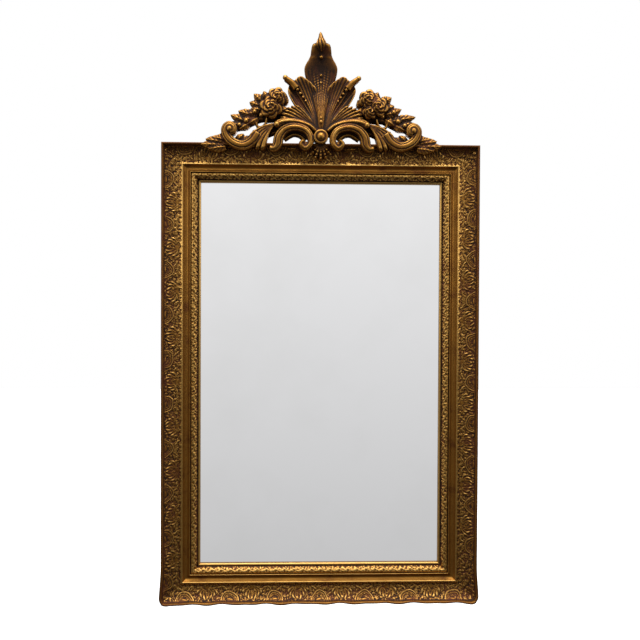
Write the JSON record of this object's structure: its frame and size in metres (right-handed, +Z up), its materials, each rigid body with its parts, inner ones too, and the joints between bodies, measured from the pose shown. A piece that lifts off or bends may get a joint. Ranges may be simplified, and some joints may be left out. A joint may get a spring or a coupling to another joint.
{
  "type": "wall mirror",
  "caption": "Tall gilt wall mirror: mitred rails with a scroll-carved cove around a plain plate, under a pierced crest of shell leaves, scrolls and rose garlands.",
  "frame": {"origin": "on the wall plane, at the middle of the flat back of the top rail, on the mirror's centre line", "axes": "+X to the right of someone facing the mirror, +Y into the wall, +Z up"},
  "size_m": [0.8, 0.077, 1.437],
  "materials": {
    "gilt_rail": "old gilding on carved wood, dark in the hollows, red ground showing on worn edges",
    "gilt_crest": "old gilding on carved wood, rubbed bright on the ribs and dark in the hollows",
    "silvered_plate": "clear flat silvered glass",
    "old_pine": "bare aged pine boards"
  },
  "bodies": {
    "root": {"top_rail": "gilt_rail", "bottom_rail": "gilt_rail", "left_rail": "gilt_rail", "right_rail": "gilt_rail", "crest": "gilt_crest", "mirror_plate": "silvered_plate", "back_board": "old_pine"}
  },
  "joints": []
}
